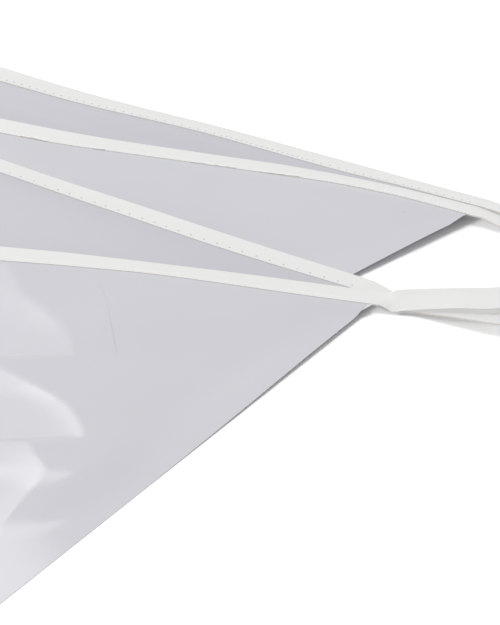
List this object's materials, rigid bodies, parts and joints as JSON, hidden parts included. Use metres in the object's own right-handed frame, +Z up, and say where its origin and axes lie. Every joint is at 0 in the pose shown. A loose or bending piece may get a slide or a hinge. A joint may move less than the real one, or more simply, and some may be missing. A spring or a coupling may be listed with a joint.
{
  "type": "plastic pennant bunting",
  "caption": "Length of silver-grey plastic pennant bunting on a folded white tape, lying in a loose zigzag pile, for party and street decoration.",
  "frame": {"origin": "middle of the pile's footprint, on the surface that it lies on", "axes": "+Z up; +X along the tape, towards its loops past the pennants' right corners; +Y away from the pennants' points"},
  "size_m": [0.3515, 0.4709, 0.0166],
  "materials": {
    "film": "satin",
    "tape": "satin"
  },
  "bodies": {
    "root": {"pennant_4": "film", "pennant_3": "film", "pennant_2": "film", "pennant_1": "film", "tape": "tape"}
  },
  "joints": []
}
